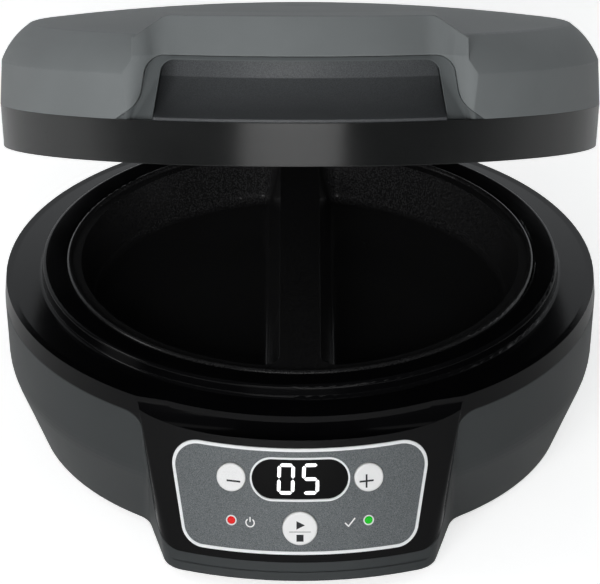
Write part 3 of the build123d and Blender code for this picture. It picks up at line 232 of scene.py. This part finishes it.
# ------------------------------------------------------------------ printed marks
class Marks:
    """Thin printed marks laid on a node as seen from the front."""

    def __init__(self, name, node, body, material, slot, lift=0.03):
        self.mesh = bmesh.new()
        self.name, self.body, self.material, self.slot = name, body, material, slot
        self.lift = lift * mm
        source = nodes[node]
        self.tree = BVHTree.FromPolygons(
            [v.co.copy() for v in source.data.vertices],
            [p.vertices[:] for p in source.data.polygons],
        )

    def put(self, x, z):
        """Point of the node's front at (x, z) in millimetres, lifted off it."""
        hit = self.tree.ray_cast(Vector((x * mm, -1, z * mm)), Vector((0, 1, 0)))[0]
        return self.mesh.verts.new(hit - Vector((0, self.lift, 0)))

    def strip(self, left, right):
        """Band between two lines of (x, z) points."""
        a = [self.put(*p) for p in left]
        b = [self.put(*p) for p in right]
        for i in range(len(a) - 1):
            self.mesh.faces.new((a[i], a[i + 1], b[i + 1], b[i]))

    def bar(self, start, end, width, taper=0.0, steps=10):
        """Straight bar with pointed ends of length taper."""
        (x0, z0), (x1, z1) = start, end
        length = Vector((x1 - x0, z1 - z0)).length
        ux, uz = (x1 - x0) / length, (z1 - z0) / length
        left, right = [], []
        for i in range(steps + 1):
            at = length * i / steps
            half = width / 2
            if taper:
                half = min(half, half * (min(at, length - at) / taper + 0.12))
            x, z = x0 + ux * at, z0 + uz * at
            left.append((x - uz * half, z + ux * half))
            right.append((x + uz * half, z - ux * half))
        self.strip(left, right)

    def arc(self, centre, radius, width, start, end, steps=30):
        """Part of a ring between two angles in degrees."""
        angles = [radians(start + (end - start) * i / steps) for i in range(steps + 1)]
        inner, outer = radius - width / 2, radius + width / 2
        x, z = centre
        self.strip(
            [(x + inner * cos(a), z + inner * sin(a)) for a in angles],
            [(x + outer * cos(a), z + outer * sin(a)) for a in angles],
        )

    def done(self):
        bmesh.ops.recalc_face_normals(self.mesh, faces=self.mesh.faces)
        data = bpy.data.meshes.new(self.name)
        self.mesh.to_mesh(data)
        self.mesh.free()
        data.materials.append(self.material)
        piece = bpy.data.objects.new(self.name, data)
        bpy.context.scene.collection.objects.link(piece)
        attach(piece, self.body)
        return piece


def centre_of(node):
    low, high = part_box(node)
    return ((low.x + high.x) / 2 / mm, (low.z + high.z) / 2 / mm)


minus_at = centre_of("minus_button")
plus_at = centre_of("plus_button")
start_at = centre_of("start_button")
window_at = centre_of("display_window")
red_at = centre_of("power_lamp")
green_at = centre_of("ready_lamp")

# Printed sizes below are in millimetres.
minus_half, minus_line = 2.9, 0.8
x, z = minus_at
sign = Marks("minus_sign", "minus_button", "minus_key", print_dark, "window_black")
sign.bar((x - minus_half, z), (x + minus_half, z), minus_line)
sign.done()

plus_half_w, plus_half_h, plus_line = 3.0, 2.9, 0.75
x, z = plus_at
sign = Marks("plus_sign", "plus_button", "plus_key", print_dark, "window_black")
sign.bar((x - plus_half_w, z), (x + plus_half_w, z), plus_line)
sign.bar((x, z - plus_half_h), (x, z + plus_half_h), plus_line)
sign.done()

# A thin line with a play triangle over it and a stop square under it.
divide_half, divide_line, divide_steps = 4.6, 0.22, 14
play_left, play_long, play_up, play_half, play_steps = 1.5, 3.6, 2.9, 1.85, 12
stop_half, stop_down = 1.5, 2.7
x, z = start_at
sign = Marks("start_sign", "start_button", "start_key", print_dark, "window_black")
sign.bar((x - divide_half, z), (x + divide_half, z), divide_line, steps=divide_steps)
shares = [i / play_steps for i in range(play_steps + 1)]
sign.strip(
    [(x - play_left + play_long * t, z + play_up - play_half * (1 - t)) for t in shares],
    [(x - play_left + play_long * t, z + play_up + play_half * (1 - t)) for t in shares],
)
sign.bar((x - stop_half, z - stop_down), (x + stop_half, z - stop_down), 2 * stop_half)
sign.done()

SEGMENTS = {
    "top": ((0, 1), (1, 1)),
    "right_high": ((1, 1), (1, 0.5)),
    "right_low": ((1, 0.5), (1, 0)),
    "foot": ((0, 0), (1, 0)),
    "left_low": ((0, 0.5), (0, 0)),
    "left_high": ((0, 1), (0, 0.5)),
    "middle": ((0, 0.5), (1, 0.5)),
}
ZERO = ("top", "right_high", "right_low", "foot", "left_low", "left_high")
FIVE = ("top", "left_high", "middle", "right_low", "foot")
digit_w, digit_h, stroke = 5.9, 12.0, 1.55
digit_lean, stroke_gap, stroke_steps = 0.35, 0.28, 16
first_digit_x, second_digit_x = -5.95, 4.5
digits = Marks("display_digits", "display_window", "base", digit_glow, "pale_trim")
for offset, lit in ((first_digit_x, ZERO), (second_digit_x, FIVE)):
    for key in lit:
        ends = []
        for u, v in SEGMENTS[key]:
            x = window_at[0] + offset + (u - 0.5) * digit_w + (v - 0.5) * digit_lean
            ends.append(Vector((x, window_at[1] + (v - 0.5) * digit_h)))
        gap = (ends[1] - ends[0]).normalized() * stroke_gap
        start, end = tuple(ends[0] + gap), tuple(ends[1] - gap)
        digits.bar(start, end, stroke, taper=stroke / 2, steps=stroke_steps)
digits.done()

symbol_off = 7.6  # from a lamp to its symbol
ring_r, ring_line, ring_start, ring_end = 1.75, 0.55, 125, 415  # angles in degrees
stem_low, stem_high = 0.3, 2.5
x, z = red_at[0] + symbol_off, red_at[1]
symbol = Marks("power_symbol", "control_plate", "base", print_white, "pale_trim")
symbol.arc((x, z), ring_r, ring_line, ring_start, ring_end)
symbol.bar((x, z + stem_low), (x, z + stem_high), ring_line)
symbol.done()

tick_line = 0.6
tick_strokes = (((-2.1, 0.1), (-0.5, -1.6)), ((-0.7, -1.6), (2.2, 1.9)))
x, z = green_at[0] - symbol_off, green_at[1]
symbol = Marks("ready_symbol", "control_plate", "base", print_white, "pale_trim")
for (x0, z0), (x1, z1) in tick_strokes:
    symbol.bar((x + x0, z + z0), (x + x1, z + z1), tick_line)
symbol.done()

# ------------------------------------------------------------------ floor, light, camera
# The floor is mid grey for the light it throws back, and near white where the camera or a
# reflection sees it.
floor_reach = 6.0  # metres to each side
floor_true, floor_seen, floor_lift = 0.4, 0.93, 0.62
floor_mesh = bpy.data.meshes.new("floor")
corners = ((-1, -1), (1, -1), (1, 1), (-1, 1))
floor_mesh.from_pydata(
    [(a * floor_reach, b * floor_reach, 0) for a, b in corners], [], [(0, 1, 2, 3)]
)
floor = bpy.data.objects.new("floor", floor_mesh)
bpy.context.scene.collection.objects.link(floor)
floor_look = bpy.data.materials.new("floor_white")
floor_look.use_nodes = True
tree = floor_look.node_tree
paint = tree.nodes["Principled BSDF"]
paint.inputs["Roughness"].default_value = 0.9
path = tree.nodes.new("ShaderNodeLightPath")
shown = tree.nodes.new("ShaderNodeMath")
shown.operation = "MAXIMUM"
tree.links.new(path.outputs["Is Camera Ray"], shown.inputs[0])
tree.links.new(path.outputs["Is Glossy Ray"], shown.inputs[1])
sheet = tree.nodes.new("ShaderNodeMix")
sheet.data_type = "RGBA"
sheet.inputs[MIX_A].default_value = (floor_true, floor_true, floor_true, 1)
sheet.inputs[MIX_B].default_value = (floor_seen, floor_seen, floor_seen, 1)
tree.links.new(shown.outputs["Value"], sheet.inputs[MIX_FACTOR])
tree.links.new(sheet.outputs[MIX_RESULT], paint.inputs["Base Color"])
paint.inputs["Emission Color"].default_value = (1, 1, 1, 1)
lift = tree.nodes.new("ShaderNodeMath")
lift.operation = "MULTIPLY"
lift.inputs[1].default_value = floor_lift
tree.links.new(path.outputs["Is Camera Ray"], lift.inputs[0])
tree.links.new(lift.outputs["Value"], paint.inputs["Emission Strength"])
floor_mesh.materials.append(floor_look)

# The room lights the object softly, mirrors show its rear brighter, and the camera sees white.
room_strength = 0.14
sheen_front, sheen_rear = 0.05, 0.75  # strength in mirrors, from the front to the rear
sheen_start, sheen_end = 0.35, 0.95  # how far to the rear a direction points
world = bpy.data.worlds.new("studio")
bpy.context.scene.world = world
world.use_nodes = True
tree = world.node_tree
tree.nodes.clear()
output = tree.nodes.new("ShaderNodeOutputWorld")


def backdrop(colour, strength):
    """Background shader of one colour."""
    node = tree.nodes.new("ShaderNodeBackground")
    node.inputs["Color"].default_value = (*colour, 1)
    node.inputs["Strength"].default_value = strength
    return node


room = backdrop((0.82, 0.86, 0.88), room_strength)
sheen = backdrop((0.94, 0.97, 1.0), sheen_front)
paper = backdrop((1, 1, 1), 1.0)
direction = tree.nodes.new("ShaderNodeTexCoord")
split = tree.nodes.new("ShaderNodeSeparateXYZ")
rear = tree.nodes.new("ShaderNodeMapRange")
rear.inputs["From Min"].default_value = sheen_start
rear.inputs["From Max"].default_value = sheen_end
rear.inputs["To Min"].default_value = sheen_front
rear.inputs["To Max"].default_value = sheen_rear
tree.links.new(direction.outputs["Generated"], split.inputs["Vector"])
tree.links.new(split.outputs["Y"], rear.inputs["Value"])
tree.links.new(rear.outputs["Result"], sheen.inputs["Strength"])
path = tree.nodes.new("ShaderNodeLightPath")
mirrored = tree.nodes.new("ShaderNodeMixShader")
tree.links.new(path.outputs["Is Glossy Ray"], mirrored.inputs[0])
tree.links.new(room.outputs[0], mirrored.inputs[1])
tree.links.new(sheen.outputs[0], mirrored.inputs[2])
seen = tree.nodes.new("ShaderNodeMixShader")
tree.links.new(path.outputs["Is Camera Ray"], seen.inputs[0])
tree.links.new(mirrored.outputs[0], seen.inputs[1])
tree.links.new(paper.outputs[0], seen.inputs[2])
tree.links.new(seen.outputs[0], output.inputs["Surface"])


def softbox(name, place, aim, width, height, power, mirrored):
    """Rectangular studio light that faces a point."""
    data = bpy.data.lights.new(name, "AREA")
    data.shape = "RECTANGLE"
    data.size, data.size_y = width, height
    data.energy = power
    lamp = bpy.data.objects.new(name, data)
    lamp.location = place
    lamp.rotation_euler = (Vector(aim) - Vector(place)).to_track_quat("-Z", "Y").to_euler()
    lamp.visible_glossy = mirrored
    bpy.context.scene.collection.objects.link(lamp)


# Name, place, point it faces, width, height (metres), watts, whether reflections show it.
lamps = (
    ("key", (-0.35, -1.9, 0.64), (0, 0, 0.1), 1.3, 0.7, 27, False),
    ("glow", (-0.1, -1.85, 0.68), (0, -0.12, 0.14), 1.3, 0.5, 3, True),
    ("overhead", (0, 0.25, 1.7), (0, 0, 0), 1.2, 0.8, 0.8, True),
    ("left_strip", (-1.25, 0.75, 0.5), (0, 0, 0.12), 0.3, 1.0, 5, False),
    ("right_strip", (1.25, 0.75, 0.5), (0, 0, 0.12), 0.3, 1.0, 4, False),
    ("left_side", (-1.5, -0.25, 0.6), (0, 0, 0.12), 0.5, 0.6, 2, True),
)
for lamp_values in lamps:
    softbox(*lamp_values)

# The camera looks down on the deck from the front and from far away, as the photograph does.
elevation = radians(29.43)
deck = Vector((0, 0, 0.074))
camera_distance, camera_drop = 2.6455, 0.0094
away = Vector((0, -cos(elevation), sin(elevation)))
up = Vector((0, sin(elevation), cos(elevation)))
camera_data = bpy.data.cameras.new("camera")
camera_data.lens = 360
camera_data.sensor_width = 36
camera_data.clip_end = 50
camera = bpy.data.objects.new("camera", camera_data)
camera.location = deck + camera_distance * away - camera_drop * up
camera.rotation_euler = (-away).to_track_quat("-Z", "Y").to_euler()
bpy.context.scene.collection.objects.link(camera)
bpy.context.scene.camera = camera
bpy.context.scene.view_settings.view_transform = "Standard"
